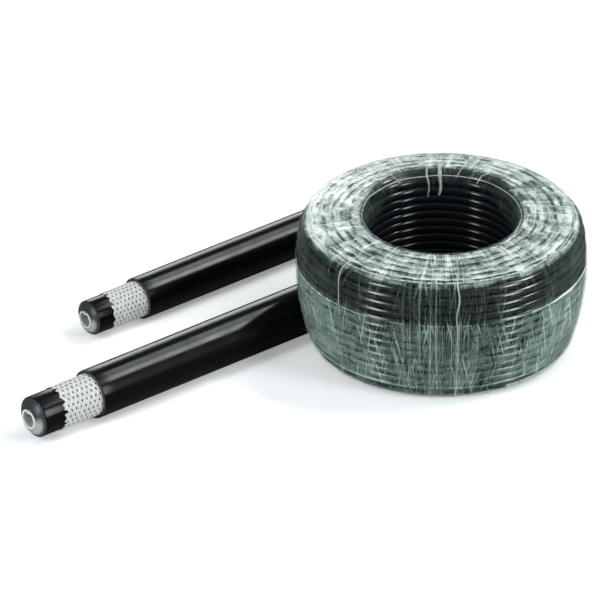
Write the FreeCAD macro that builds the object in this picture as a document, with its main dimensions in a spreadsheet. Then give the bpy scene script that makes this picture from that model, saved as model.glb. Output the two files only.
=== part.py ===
import FreeCAD
import Part
import math
import os
import Sketcher

# A coil of compressor air hose in its stretch film, with two cut-back lengths of hose beside
# it. Millimetres, +Z up. The origin is on the axis of the coil's bore, at the floor.

SIZES = {
    # the hose that the coil is wound from
    "hose_outer": 12.5,
    "turn_gap": 0.45,
    "loops": 24,
    # the coil: its bore, its height at the bore's rim, and its belly
    "bore_radius": 109.5,
    "coil_height": 205.0,
    "rim_bend": 12.0,
    "crown_fall": 6.0,
    "shoulder_radius": 28.0,
    "widest_radius": 215.0,
    "widest_height": 135.0,
    "belly_radius": 424.0,
    "foot_radius": 17.0,
    # the film: a wrap drawn into the bore, and a band round the lower side
    "film_wall": 0.8,
    "film_slack": 1.1,
    "lip_depth": 22.0,
    "girth_wall": 0.8,
    "girth_slack": 0.45,
    "girth_bottom": 20.0,
    "girth_top": 138.0,
    # the plain core that stands for the inner layers of turns
    "core_slack": 1.2,
    "core_gap": 0.4,
    # both cut-back lengths: the way they point, and the gaps about them
    "lengths_angle": 38.9,
    "layer_gap": 0.2,
    "coil_gap": 1.2,
    # the front length
    "front_near_x": -595.4,
    "front_near_y": -304.9,
    "front_reach": 566.0,
    "front_cover_outer": 74.0,
    "front_cover_wall": 4.4,
    "front_cover_start": 104.0,
    "front_braid_wall": 1.2,
    "front_braid_start": 40.0,
    "front_end_round": 3.0,
    "front_dome_reach": 7.8,
    "front_dome_radius": 24.0,
    "front_liner_outer": 30.4,
    "front_liner_wall": 2.7,
    "front_liner_reach": 485.0,
    "front_lip_stand": 0.8,
    # the back length
    "back_near_x": -520.6,
    "back_near_y": -8.9,
    "back_reach": 500.0,
    "back_cover_outer": 63.6,
    "back_cover_wall": 3.9,
    "back_cover_start": 91.5,
    "back_braid_wall": 1.1,
    "back_braid_start": 32.5,
    "back_end_round": 2.6,
    "back_dome_reach": 5.6,
    "back_dome_radius": 21.0,
    "back_liner_outer": 27.0,
    "back_liner_wall": 2.4,
    "back_liner_reach": 500.0,
    "back_lip_stand": 0.7,
}

# the section of the wound hose is drawn with this many flat sides
TUBE_SIDES = 5
# the spiral of turns is worked out at this many stations in each loop
STATIONS = 4
# the film and the core lie in this many flat bands at the rim, shoulder, belly and foot
FILM_BANDS = (3, 3, 4, 2)
CORE_BANDS = (1, 1, 2, 1)
# the small rounds at the near ends of the cut-back lengths are drawn with this many flats
LIP_SIDES = 4
EDGE_SIDES = 2

doc = FreeCAD.newDocument("coiled_air_hose")
sheet = doc.addObject("Spreadsheet::Sheet", "sizes")
for row, (alias, value) in enumerate(SIZES.items(), 1):
    sheet.set("A%d" % row, alias)
    sheet.set("B%d" % row, str(value))
    sheet.setAlias("B%d" % row, alias)
doc.recompute()


def cells(expression):
    """An expression over named sizes, such as {film_wall} * 2, as the document reads it."""
    return expression.replace("{", "sizes.").replace("}", "")


def worked(expression):
    """The same expression, worked out."""
    return float(sheet.evalExpression(cells(expression)))


# Sizes that several pieces share, each worked out from the sheet.
SKIN_DEPTH = "({hose_outer} / 2 + {film_slack} + {film_wall})"
RIM_ROUND = "({rim_bend} + {hose_outer} / 2 + {film_slack} + {film_wall})"
RIM_ACROSS = "({bore_radius} + {hose_outer} / 2 + {rim_bend})"
RIM_UP = "({coil_height} - {rim_bend} - {hose_outer} / 2 - {film_slack} - {film_wall})"
BORE_WALL = "({bore_radius} - {film_slack} - {film_wall})"
BELLY_BACK = "({belly_radius} - {widest_radius})"
CORE_SKIN = "({film_wall} + {core_gap})"
CORE_DEPTH = "({film_wall} + {film_slack} + {hose_outer} + {core_slack})"
GIRTH_INNER = "({belly_radius} + {girth_slack})"
GIRTH_OUTER = "({belly_radius} + {girth_slack} + {girth_wall})"
CLEARANCE = "(0 - {girth_slack} - {girth_wall} - {coil_gap})"


def new_body(name):
    body = doc.addObject("PartDesign::Body", name)
    body.Label = name
    return body


def new_sketch(body, name, role="XZ_Plane"):
    """A sketch on one of the body's own origin planes."""
    sketch = body.newObject("Sketcher::SketchObject", name)
    planes = [item for item in body.Origin.OriginFeatures if item.Role == role]
    sketch.AttachmentSupport = [(planes[0], "")]
    sketch.MapMode = "FlatFace"
    return sketch


def rule(sketch, kind, *places):
    """A constraint without a size."""
    return sketch.addConstraint(Sketcher.Constraint(kind, *places))


def drive(sketch, kind, places, expression):
    """A constraint whose size is tied to the sheet."""
    index = rule(sketch, kind, *places, worked(expression))
    sketch.setExpression("Constraints[%d]" % index, cells(expression))


def line(sketch, start, end):
    ends = [FreeCAD.Vector(across, up, 0) for across, up in (start, end)]
    return sketch.addGeometry(Part.LineSegment(*ends), False)


def arc(sketch, centre, radius, first, last):
    """An arc from the first to the last angle, in degrees, anticlockwise."""
    middle = FreeCAD.Vector(centre[0], centre[1], 0)
    circle = Part.Circle(middle, FreeCAD.Vector(0, 0, 1), radius)
    sweep = Part.ArcOfCircle(circle, math.radians(first), math.radians(last))
    return sketch.addGeometry(sweep, False)


def angle_from(centre, target):
    return math.degrees(math.atan2(target[1] - centre[1], target[0] - centre[0]))


def end_of(centre, radius, degrees):
    turn = math.radians(degrees)
    return (centre[0] + radius * math.cos(turn), centre[1] + radius * math.sin(turn))


def turned(body, sketch, name, feature="Revolution", about="V_Axis"):
    """Turn a sketch right round one of its own axes, as material or as a cut."""
    result = body.newObject("PartDesign::" + feature, name)
    result.Profile = sketch
    result.ReferenceAxis = (sketch, [about])
    result.Angle = 360.0
    return result


def boolean(kind, name, base, tool):
    result = doc.addObject("Part::" + kind, name)
    result.Label = name
    result.Base = base
    result.Tool = tool
    return result


# The coil's section is a chain of lines and rounds about the same centres at every depth,
# so the film, the turns under it and the core all follow it.
def rim_centre():
    """Centre of the round where the bore turns over into the crown."""
    return (worked(RIM_ACROSS), worked(RIM_UP))


def belly_centre():
    return (-worked(BELLY_BACK), worked("{widest_height}"))


def shoulder_centre():
    """Centre of the round that touches both the falling crown and the belly."""
    fall = math.radians(worked("{crown_fall}"))
    rim, belly = rim_centre(), belly_centre()
    lower = worked("{shoulder_radius} - " + RIM_ROUND)
    first = (rim[0] - lower * math.sin(fall), rim[1] - lower * math.cos(fall))
    offset = (first[0] - belly[0], first[1] - belly[1])
    reach = worked("{belly_radius} - {shoulder_radius}")
    along = offset[0] * math.cos(fall) - offset[1] * math.sin(fall)
    beyond = offset[0] ** 2 + offset[1] ** 2 - reach**2
    travel = math.sqrt(along**2 - beyond) - along
    return (first[0] + travel * math.cos(fall), first[1] - travel * math.sin(fall))


def foot_centre():
    """Centre of the round between the belly and the floor."""
    belly = belly_centre()
    reach = worked("{belly_radius} - {foot_radius}")
    up = worked("{foot_radius}")
    return (belly[0] + math.sqrt(reach**2 - (up - belly[1]) ** 2), up)


def flat_bands(sketch, guide, ends, circle, angles, count):
    """Equal chords along a guide arc, from one of its ends to the other."""
    centre, radius = circle
    start, stop = angles
    corners = [
        end_of(centre, radius, start + (stop - start) * step / count)
        for step in range(count + 1)
    ]
    chords = [line(sketch, *pair) for pair in zip(corners, corners[1:])]
    rule(sketch, "Coincident", chords[0], 1, guide, ends[0])
    for before, after in zip(chords, chords[1:]):
        rule(sketch, "Coincident", before, 2, after, 1)
        rule(sketch, "PointOnObject", after, 1, guide)
        rule(sketch, "Equal", before, after)
    rule(sketch, "Coincident", chords[-1], 2, guide, ends[1])


def ring_outline(sketch, inset, bands):
    """The coil's whole section, drawn in by the inset, with an upright wall at the bore.
    The rounds are guides for flat bands, as film pulled from turn to turn lies flat."""
    depth = worked(inset)
    rim, shoulder, belly, foot = rim_centre(), shoulder_centre(), belly_centre(), foot_centre()
    crown = 90 - worked("{crown_fall}")
    rise, sink = angle_from(belly, shoulder), angle_from(belly, foot)
    rounds = [
        (rim, RIM_ROUND, (180, crown)),
        (shoulder, "{shoulder_radius}", (crown, rise)),
        (belly, "{belly_radius}", (rise, sink)),
        (foot, "{foot_radius}", (sink, -90)),
    ]
    radii = [worked(whole) - depth for _, whole, _ in rounds]
    wall = rim[0] - radii[0]
    bore = line(sketch, (wall, depth), (wall, rim[1]))
    top = line(sketch, end_of(rim, radii[0], crown), end_of(shoulder, radii[1], crown))
    base = line(sketch, (foot[0], depth), (wall, depth))
    guides = []
    for (centre, whole, (start, stop)), radius, count in zip(rounds, radii, bands):
        guide = arc(sketch, centre, radius, stop, start)
        sketch.setConstruction(guide, True)
        drive(sketch, "Radius", (guide,), "%s - %s" % (whole, inset))
        flat_bands(sketch, guide, (2, 1), (centre, radius), (start, stop), count)
        guides.append(guide)
    corner, edge, side, heel = guides
    rule(sketch, "Vertical", bore)
    rule(sketch, "Horizontal", base)
    rule(sketch, "Tangent", bore, 2, corner, 2)
    rule(sketch, "Tangent", corner, 1, top, 1)
    rule(sketch, "Tangent", top, 2, edge, 2)
    rule(sketch, "Tangent", edge, 1, side, 2)
    rule(sketch, "Tangent", side, 1, heel, 2)
    rule(sketch, "Tangent", heel, 1, base, 1)
    rule(sketch, "Coincident", base, 2, bore, 1)
    drive(sketch, "DistanceX", (-1, 1, corner, 3), RIM_ACROSS)
    drive(sketch, "DistanceY", (-1, 1, corner, 3), RIM_UP)
    drive(sketch, "DistanceX", (side, 3, -1, 1), BELLY_BACK)
    drive(sketch, "DistanceY", (-1, 1, side, 3), "{widest_height}")
    drive(sketch, "DistanceY", (-1, 1, base, 2), inset)
    index = rule(sketch, "Angle", -1, 1, top, 1, math.radians(crown - 90))
    sketch.setExpression("Constraints[%d]" % index, cells("0 - {crown_fall}"))


def ring_body(name, inset, bands):
    """A closed ring of the coil's section."""
    body = new_body(name)
    sketch = new_sketch(body, name + "_outline")
    ring_outline(sketch, inset, bands)
    turned(body, sketch, name + "_ring")
    return body


def disc_outline(sketch, radius, low, high):
    """Half the section of an upright cylinder about the coil's axis."""
    out, floor, top = worked(radius), worked(low), worked(high)
    corners = [(0, floor), (out, floor), (out, top), (0, top)]
    under, rim, over, axis = [
        line(sketch, *pair) for pair in zip(corners, corners[1:] + corners[:1])
    ]
    sides = (under, rim, over, axis)
    for before, after in zip(sides, sides[1:] + sides[:1]):
        rule(sketch, "Coincident", before, 2, after, 1)
    rule(sketch, "Horizontal", under)
    rule(sketch, "Horizontal", over)
    rule(sketch, "Vertical", rim)
    rule(sketch, "Vertical", axis)
    rule(sketch, "PointOnObject", axis, 1, -2)
    drive(sketch, "DistanceX", (-1, 1, rim, 1), radius)
    drive(sketch, "DistanceY", (-1, 1, rim, 1), low)
    drive(sketch, "DistanceY", (-1, 1, rim, 2), high)


# The film's wrap: one skin over the crown, down the belly and under the base, whose two
# edges are drawn a little way into the bore, so that most of the bore shows bare turns.
wrap = ring_body("film_cross_wrap", "0", FILM_BANDS)
hollow = new_sketch(wrap, "wrap_hollow_outline")
ring_outline(hollow, "{film_wall}", FILM_BANDS)
turned(wrap, hollow, "wrap_hollow", "Groove")
window = new_sketch(wrap, "bore_window_outline")
disc_outline(window, "{bore_radius}", "{lip_depth}", RIM_UP + " - {lip_depth} + {rim_bend}")
turned(wrap, window, "bore_window", "Groove")


# The film's girth band: a second skin round the lower side, up to the clear glossy turns.
def girth_outline(sketch):
    belly = belly_centre()
    low, high = worked("{girth_bottom}"), worked("{girth_top}")
    guides, ends = [], []
    for expression in (GIRTH_INNER, GIRTH_OUTER):
        radius = worked(expression)
        first = math.degrees(math.asin((low - belly[1]) / radius))
        last = math.degrees(math.asin((high - belly[1]) / radius))
        guide = arc(sketch, belly, radius, first, last)
        sketch.setConstruction(guide, True)
        drive(sketch, "Radius", (guide,), expression)
        flat_bands(sketch, guide, (1, 2), (belly, radius), (first, last), FILM_BANDS[2])
        guides.append(guide)
        ends.append((end_of(belly, radius, first), end_of(belly, radius, last)))
    inner, outer = guides
    hem = line(sketch, ends[0][0], ends[1][0])
    brim = line(sketch, ends[0][1], ends[1][1])
    rule(sketch, "Coincident", inner, 3, outer, 3)
    for edge, place in ((hem, 1), (brim, 2)):
        rule(sketch, "Coincident", edge, 1, inner, place)
        rule(sketch, "Coincident", edge, 2, outer, place)
        rule(sketch, "Horizontal", edge)
    drive(sketch, "DistanceX", (inner, 3, -1, 1), BELLY_BACK)
    drive(sketch, "DistanceY", (-1, 1, inner, 3), "{widest_height}")
    drive(sketch, "DistanceY", (-1, 1, hem, 1), "{girth_bottom}")
    drive(sketch, "DistanceY", (-1, 1, brim, 1), "{girth_top}")


girth = new_body("film_girth_wrap")
girth_sketch = new_sketch(girth, "girth_outline")
girth_outline(girth_sketch)
turned(girth, girth_sketch, "girth_band")


# The wound hose: one unbroken tube that climbs the bore, crosses the crown outwards and
# starts down the belly, turn beside turn.
def steps_along(start, stop, length):
    """Values from start to stop, a twentieth of a millimetre apart on a length."""
    count = int(length * 20)
    return [start + (stop - start) * step / count for step in range(1, count + 1)]


def winding_route():
    """The line that the hose's centre keeps to in the coil's section, in short steps."""
    depth = worked(SKIN_DEPTH)
    rim, shoulder, belly = rim_centre(), shoulder_centre(), belly_centre()
    bend = worked("{rim_bend}")
    blend = worked("{shoulder_radius}") - depth
    girth_line = worked("{belly_radius}") - depth
    crown = 90 - worked("{crown_fall}")
    rise = angle_from(belly, shoulder)
    wall = rim[0] - bend
    brow, crest = end_of(rim, bend, crown), end_of(shoulder, blend, crown)
    run = math.dist(brow, crest)
    half_height = worked("{coil_height} / 2")
    fall = math.degrees(half_height / girth_line)
    route = [(wall, depth)]
    route += [(wall, up) for up in steps_along(depth, rim[1], rim[1] - depth)]
    over = math.radians(180 - crown) * bend
    route += [end_of(rim, bend, turn) for turn in steps_along(180, crown, over)]
    for share in steps_along(0, 1, run):
        across = brow[0] + (crest[0] - brow[0]) * share
        route.append((across, brow[1] + (crest[1] - brow[1]) * share))
    down = math.radians(crown - rise) * blend
    route += [end_of(shoulder, blend, turn) for turn in steps_along(crown, rise, down)]
    for turn in steps_along(rise, rise - fall, half_height):
        route.append(end_of(belly, girth_line, turn))
    return route


def winding_stations():
    """Places of the hose's centre, a quarter turn apart, each a pitch from the turn before."""
    route = winding_route()
    pitch = worked("{hose_outer} + {turn_gap}")
    places = []
    index = 0
    for station in range(int(worked("{loops}")) * STATIONS + 1):
        if station < STATIONS:
            origin, goal = route[0], pitch * station / STATIONS
        else:
            origin, goal = places[station - STATIONS], pitch
        while math.dist(route[index], origin) < goal:
            index += 1
        places.append(route[index])
    return places


def winding_points():
    """The stations as points in space, with the way that the hose runs at each."""
    places = winding_stations()
    points, ways = [], []
    last = len(places) - 1
    quarter = 2 * math.pi / STATIONS
    for index, (across, up) in enumerate(places):
        before, after = max(index - 1, 0), min(index + 1, last)
        spread = quarter * (after - before)
        drift = (places[after][0] - places[before][0]) / spread
        climb = (places[after][1] - places[before][1]) / spread
        cosine, sine = math.cos(quarter * index), math.sin(quarter * index)
        points.append(FreeCAD.Vector(across * cosine, across * sine, up))
        way = FreeCAD.Vector(
            drift * cosine - across * sine,
            drift * sine + across * cosine,
            climb,
        )
        ways.append(way.normalize())
    return points, ways


def bend_between(start, corner, end):
    """The arc from start to end whose two end tangents meet at the corner."""
    middle = (start + end) * 0.5
    half = (end - start).Length / 2
    lean = math.acos(half / (corner - start).Length)
    rise = (corner - middle).normalize() * (half * math.tan(lean / 2))
    return Part.Arc(start, middle + rise, end)


def biarc(start, start_way, end, end_way):
    """Two arcs that join two points, each pointing the way given there."""
    chord = end - start
    along = chord.dot(start_way + end_way)
    turn = 2 * (1 - start_way.dot(end_way))
    reach = (math.sqrt(along**2 + turn * chord.dot(chord)) - along) / turn
    first, second = start + start_way * reach, end - end_way * reach
    joint = (first + second) * 0.5
    return [bend_between(start, first, joint), bend_between(joint, second, end)]


def winding_path():
    """The arcs of the wound hose, with a straight hose diameter at both ends."""
    points, ways = winding_points()
    tail = worked("{hose_outer}")
    curves = [Part.LineSegment(points[0] - ways[0] * tail, points[0])]
    for index in range(len(points) - 1):
        curves += biarc(points[index], ways[index], points[index + 1], ways[index + 1])
    curves.append(Part.LineSegment(points[-1], points[-1] + ways[-1] * tail))
    return Part.Wire([curve.toShape() for curve in curves])


def wound_hose(path):
    """The tube along the path, with a flat-sided section square to its start."""
    points, ways = winding_points()
    radius = worked("{hose_outer} / 2")
    start = points[0] - ways[0] * worked("{hose_outer}")
    level = ways[0].cross(FreeCAD.Vector(0, 0, 1)).normalize()
    lift = level.cross(ways[0]).normalize()
    corners = []
    for side in range(TUBE_SIDES):
        across, up = end_of((0, 0), radius, 360 * (side + 0.5) / TUBE_SIDES)
        corners.append(start + level * across + lift * up)
    section = Part.makePolygon(corners + corners[:1])
    return path.makePipeShell([section], True, False)


def least_gap(path):
    """The least gap between the tube and itself, measured on points along its path."""
    diameter = worked("{hose_outer}")
    spacing = diameter / 2
    points = path.discretize(Distance=spacing)
    skipped = 6
    reach = int(2 * 2 * math.pi * worked("{widest_radius}") / spacing)
    gaps = []
    for index, here in enumerate(points):
        others = points[index + skipped:index + reach]
        gaps += [min((here - other).Length for other in others)] if others else []
    return min(gaps) - diameter


path = winding_path()
winding = doc.addObject("Part::Feature", "hose_winding")
winding.Label = "hose_winding"
winding.Shape = wound_hose(path)
section_area = worked("{hose_outer}") ** 2 * TUBE_SIDES * math.sin(2 * math.pi / TUBE_SIDES) / 8
print("wound hose: %.2f m, in %d loops" % (path.Length / 1000, worked("{loops}")))
print("its volume over section times length: %.5f" % (
    winding.Shape.Volume / section_area / path.Length
))
print("its tightest bend: %.1f mm" % min(
    edge.Curve.Radius for edge in path.Edges if hasattr(edge.Curve, "Radius")
))
print("its least gap to itself: %.2f mm" % least_gap(path))


# The plain core: the layers of turns that the wound hose hides. It stands back behind those
# turns, and below the last of them it fills the coil right out to the film.
core_inside = ring_body("core_inside", CORE_DEPTH, CORE_BANDS)
core_outside = ring_body("core_outside", CORE_SKIN, FILM_BANDS)
last_turn = winding_stations()[-1][1]
ledge = last_turn - worked("{hose_outer} / 2 + {core_slack}")
below = doc.addObject("Part::Cylinder", "below_last_turn")
below.setExpression("Radius", cells("{widest_radius}"))
below.Height = ledge
within = doc.addObject("Part::Cylinder", "within_the_bore")
within.setExpression("Radius", cells(BORE_WALL + " + " + CORE_DEPTH))
within.Height = ledge
collar = boolean("Cut", "collar", below, within)
skirt = boolean("Common", "core_skirt", core_outside, collar)
core = boolean("Fuse", "coil_core", core_inside, skirt)


# The space that the coil fills, with room round it: the front length is coped to it.
coil_space = ring_body("coil_space", CLEARANCE, FILM_BANDS)
middle = new_sketch(coil_space, "coil_middle_outline")
disc_outline(middle, "({bore_radius} + {hose_outer})", "0", "{coil_height}")
turned(coil_space, middle, "coil_middle")


# The cut-back lengths. Each is a cover, a braid, an inner tube and a thin liner, one inside
# the other and each cut back further than the next one in.
def tube_outline(sketch, ends, radii, lip):
    """A tube's wall along the level axis, with a square near end or a rounded lip there."""
    near, far = worked(ends[0]), worked(ends[1])
    inner, outer = worked(radii[0]), worked(radii[1])
    inside = line(sketch, (near, inner), (far, inner))
    end = line(sketch, (far, inner), (far, outer))
    outside = line(sketch, (far, outer), (near, outer))
    if lip:
        middle, bow = (near, (inner + outer) / 2), (outer - inner) / 2
        face = arc(sketch, middle, bow, 90, 270)
        sketch.setConstruction(face, True)
        flat_bands(sketch, face, (1, 2), (middle, bow), (90, 270), LIP_SIDES)
        rule(sketch, "Tangent", outside, 2, face, 1)
        rule(sketch, "Tangent", face, 2, inside, 1)
    else:
        face = line(sketch, (near, outer), (near, inner))
        rule(sketch, "Coincident", outside, 2, face, 1)
        rule(sketch, "Coincident", face, 2, inside, 1)
        rule(sketch, "Vertical", face)
    rule(sketch, "Coincident", inside, 2, end, 1)
    rule(sketch, "Coincident", end, 2, outside, 1)
    rule(sketch, "Horizontal", inside)
    if not lip:
        rule(sketch, "Horizontal", outside)
    rule(sketch, "Vertical", end)
    drive(sketch, "DistanceX", (-1, 1, inside, 1), ends[0])
    drive(sketch, "DistanceX", (-1, 1, inside, 2), ends[1])
    drive(sketch, "DistanceY", (-1, 1, inside, 2), radii[0])
    drive(sketch, "DistanceY", (-1, 1, outside, 1), radii[1])


def domed_outline(sketch, ends, radii, edge_round, dome_round):
    """The inner tube's wall. Its near end swells out in a dome that carries the mouth, and
    its rim is rounded over."""
    near, far = worked(ends[0]), worked(ends[1])
    inner, outer = worked(radii[0]), worked(radii[1])
    edge, bow = worked(edge_round), worked(dome_round)
    brow = outer - edge
    lean = math.atan2(-near, brow - inner)
    reach = math.sqrt(bow**2 - (math.hypot(near, brow - inner) / 2) ** 2)
    centre = (
        near / 2 + reach * math.cos(lean),
        (inner + brow) / 2 - reach * math.sin(lean),
    )
    first = angle_from(centre, (0, brow)) % 360
    last = angle_from(centre, (near, inner)) % 360
    inside = line(sketch, (near, inner), (far, inner))
    end = line(sketch, (far, inner), (far, outer))
    outside = line(sketch, (far, outer), (edge, outer))
    turn = arc(sketch, (edge, brow), edge, 90, 180)
    sketch.setConstruction(turn, True)
    flat_bands(sketch, turn, (1, 2), ((edge, brow), edge), (90, 180), EDGE_SIDES)
    dome = arc(sketch, centre, bow, first, last)
    rule(sketch, "Coincident", inside, 2, end, 1)
    rule(sketch, "Coincident", end, 2, outside, 1)
    rule(sketch, "Tangent", outside, 2, turn, 1)
    rule(sketch, "Coincident", turn, 2, dome, 1)
    rule(sketch, "Coincident", dome, 2, inside, 1)
    rule(sketch, "Horizontal", inside)
    rule(sketch, "Vertical", end)
    rule(sketch, "Horizontal", turn, 2, turn, 3)
    rule(sketch, "PointOnObject", turn, 2, -2)
    drive(sketch, "Radius", (turn,), edge_round)
    drive(sketch, "Radius", (dome,), dome_round)
    drive(sketch, "DistanceX", (-1, 1, inside, 1), ends[0])
    drive(sketch, "DistanceX", (-1, 1, inside, 2), ends[1])
    drive(sketch, "DistanceY", (-1, 1, inside, 2), radii[0])
    drive(sketch, "DistanceY", (-1, 1, outside, 1), radii[1])


def lay(body, side):
    """Lay a length's piece on the floor, pointing past the coil."""
    body.setExpression("Placement.Base.x", cells("{%s_near_x}" % side))
    body.setExpression("Placement.Base.y", cells("{%s_near_y}" % side))
    body.setExpression("Placement.Base.z", cells("{%s_cover_outer} / 2" % side))
    body.setExpression("Placement.Rotation.Angle", cells("{lengths_angle}"))


def length_pieces(side, ending):
    """The four tubes of one length. The ending is added to the names of their bodies."""

    def own(text):
        return text.replace("{", "{%s_" % side).replace("{%s_layer_gap}" % side, "{layer_gap}")

    cover_outer = own("({cover_outer} / 2)")
    cover_inner = own("({cover_outer} / 2 - {cover_wall})")
    braid_outer = "(%s - {layer_gap})" % cover_inner
    braid_inner = "(%s - %s)" % (braid_outer, own("{braid_wall}"))
    tube_outer = "(%s - {layer_gap})" % braid_inner
    liner_outer = own("({liner_outer} / 2)")
    liner_inner = own("({liner_outer} / 2 - {liner_wall})")
    tube_inner = "(%s + {layer_gap})" % liner_outer
    far = own("{reach}")
    mouth = own("(0 - {dome_reach} - {lip_stand})")
    plain = {
        "cover": ((own("{cover_start}"), far), (cover_inner, cover_outer), False),
        "braid": ((own("{braid_start}"), far), (braid_inner, braid_outer), False),
        "liner": ((mouth, own("{liner_reach}")), (liner_inner, liner_outer), True),
    }
    pieces = {}
    for piece, (ends, radii, lip) in plain.items():
        name = "%s_%s" % (side, piece)
        body = new_body(name + ending)
        sketch = new_sketch(body, name + "_outline")
        tube_outline(sketch, ends, radii, lip)
        turned(body, sketch, name + "_tube", about="H_Axis")
        pieces[name] = body
    name = side + "_inner_tube"
    body = new_body(name + ending)
    sketch = new_sketch(body, name + "_outline")
    domed_outline(
        sketch,
        (own("(0 - {dome_reach})"), far),
        (tube_inner, tube_outer),
        own("{end_round}"),
        own("{dome_radius}"),
    )
    turned(body, sketch, name + "_tube", about="H_Axis")
    pieces[name] = body
    for body in pieces.values():
        lay(body, side)
    return pieces


nodes = {
    "film_cross_wrap": wrap,
    "film_girth_wrap": girth,
    "hose_winding": winding,
    "coil_core": core,
}
nodes.update(length_pieces("back", ""))
for name, blank in length_pieces("front", "_blank").items():
    nodes[name] = boolean("Cut", name, blank, coil_space)


doc.recompute()
for item in doc.Objects:
    if "Invalid" in item.State or "Error" in item.State:
        raise RuntimeError("%s did not build: %s" % (item.Name, item.State))
for name, item in nodes.items():
    shape = item.Shape
    if shape.isNull() or not shape.isValid() or len(shape.Solids) != 1:
        raise RuntimeError("%s is not one valid solid" % name)
os.makedirs("parts", exist_ok=True)
for name, item in nodes.items():
    item.Shape.exportStep("parts/%s.step" % name)
    print("%-18s %12.0f mm3" % (name, item.Shape.Volume))
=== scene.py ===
import math
import random

import bmesh
import bpy
from mathutils import Matrix, Vector, noise


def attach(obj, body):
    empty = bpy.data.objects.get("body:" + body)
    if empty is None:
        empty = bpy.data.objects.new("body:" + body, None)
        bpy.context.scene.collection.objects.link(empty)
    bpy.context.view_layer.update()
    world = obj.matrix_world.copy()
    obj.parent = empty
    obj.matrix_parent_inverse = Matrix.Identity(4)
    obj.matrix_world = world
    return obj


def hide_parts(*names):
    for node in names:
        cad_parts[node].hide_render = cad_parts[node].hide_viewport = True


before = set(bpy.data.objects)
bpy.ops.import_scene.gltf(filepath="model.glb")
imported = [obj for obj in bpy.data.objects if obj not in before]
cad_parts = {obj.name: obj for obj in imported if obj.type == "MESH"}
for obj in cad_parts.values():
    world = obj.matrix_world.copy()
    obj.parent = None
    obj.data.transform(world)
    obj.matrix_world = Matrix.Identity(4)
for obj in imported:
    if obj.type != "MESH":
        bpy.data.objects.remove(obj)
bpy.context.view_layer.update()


# The hose in the coil: one unbroken run of smooth black 12.5 mm air hose. It climbs the
# bore, crosses the crown and comes down the belly, turn beside turn, as the machine lays
# it. Extruded in black PVC with a gloss skin.
HOSE_WIDTH = 0.0125
TURN_PITCH = 0.01295
TURN_POINTS = 24
HOSE_DEPTH = 0.00815
RIM_CENTRE, RIM_ROUND = (0.12775, 0.18485), 0.02015
SHOULDER_ROUND = 0.028
BELLY_CENTRE, BELLY_ROUND = (-0.209, 0.135), 0.424
FOOT_ROUND = 0.017
CROWN_TILT = math.radians(84)


def place_on(centre, radius, angle):
    return (centre[0] + radius * math.cos(angle), centre[1] + radius * math.sin(angle))


def centre_of_shoulder():
    """Centre of the round that touches both the crown and the belly."""
    lower = SHOULDER_ROUND - RIM_ROUND
    fall = math.pi / 2 - CROWN_TILT
    start = place_on(RIM_CENTRE, -lower, CROWN_TILT)
    offset = (start[0] - BELLY_CENTRE[0], start[1] - BELLY_CENTRE[1])
    along = offset[0] * math.cos(fall) - offset[1] * math.sin(fall)
    beyond = offset[0] ** 2 + offset[1] ** 2 - (BELLY_ROUND - SHOULDER_ROUND) ** 2
    travel = math.sqrt(along**2 - beyond) - along
    return (start[0] + travel * math.cos(fall), start[1] - travel * math.sin(fall))


SHOULDER_CENTRE = centre_of_shoulder()
FOOT_CENTRE = (
    BELLY_CENTRE[0]
    + math.sqrt((BELLY_ROUND - FOOT_ROUND) ** 2 - (FOOT_ROUND - BELLY_CENTRE[1]) ** 2),
    FOOT_ROUND,
)


def run(start, end, step):
    """Places from start up to end, a step apart, without the end itself."""
    count = max(1, round(math.dist(start, end) / step))
    return [
        tuple(a + (b - a) * share / count for a, b in zip(start, end))
        for share in range(count)
    ]


def bend(centre, radius, first, last, step):
    """The same along an arc, from the first angle to the last."""
    count = max(2, round(abs(last - first) * radius / step))
    return [
        place_on(centre, radius, first + (last - first) * share / count)
        for share in range(count)
    ]


def coil_section(inset, step):
    """The coil's section, from the foot of its bore up, over the crown and down its side."""
    crest = place_on(RIM_CENTRE, RIM_ROUND - inset, CROWN_TILT)
    edge = place_on(SHOULDER_CENTRE, SHOULDER_ROUND - inset, CROWN_TILT)
    wall = RIM_CENTRE[0] - RIM_ROUND + inset
    rise = math.atan2(
        SHOULDER_CENTRE[1] - BELLY_CENTRE[1], SHOULDER_CENTRE[0] - BELLY_CENTRE[0]
    )
    sink = math.atan2(FOOT_CENTRE[1] - BELLY_CENTRE[1], FOOT_CENTRE[0] - BELLY_CENTRE[0])
    places = run((wall, inset), (wall, RIM_CENTRE[1]), step)
    places += bend(RIM_CENTRE, RIM_ROUND - inset, math.pi, CROWN_TILT, step)
    places += run(crest, edge, step)
    places += bend(SHOULDER_CENTRE, SHOULDER_ROUND - inset, CROWN_TILT, rise, step)
    places += bend(BELLY_CENTRE, BELLY_ROUND - inset, rise, sink, step)
    places += bend(FOOT_CENTRE, FOOT_ROUND - inset, sink, -math.pi / 2, step)
    return places


def lay_turns():
    """Where the hose's centre is in the section, each place a pitch from the turn before."""
    route = coil_section(HOSE_DEPTH, 0.00005)
    places, index = [], 0
    while True:
        if len(places) < TURN_POINTS:
            origin, goal = route[0], TURN_PITCH * len(places) / TURN_POINTS
        else:
            origin, goal = places[-TURN_POINTS], TURN_PITCH
        while index < len(route) and math.dist(route[index], origin) < goal:
            index += 1
        if index == len(route):
            return places
        places.append(route[index])


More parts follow.
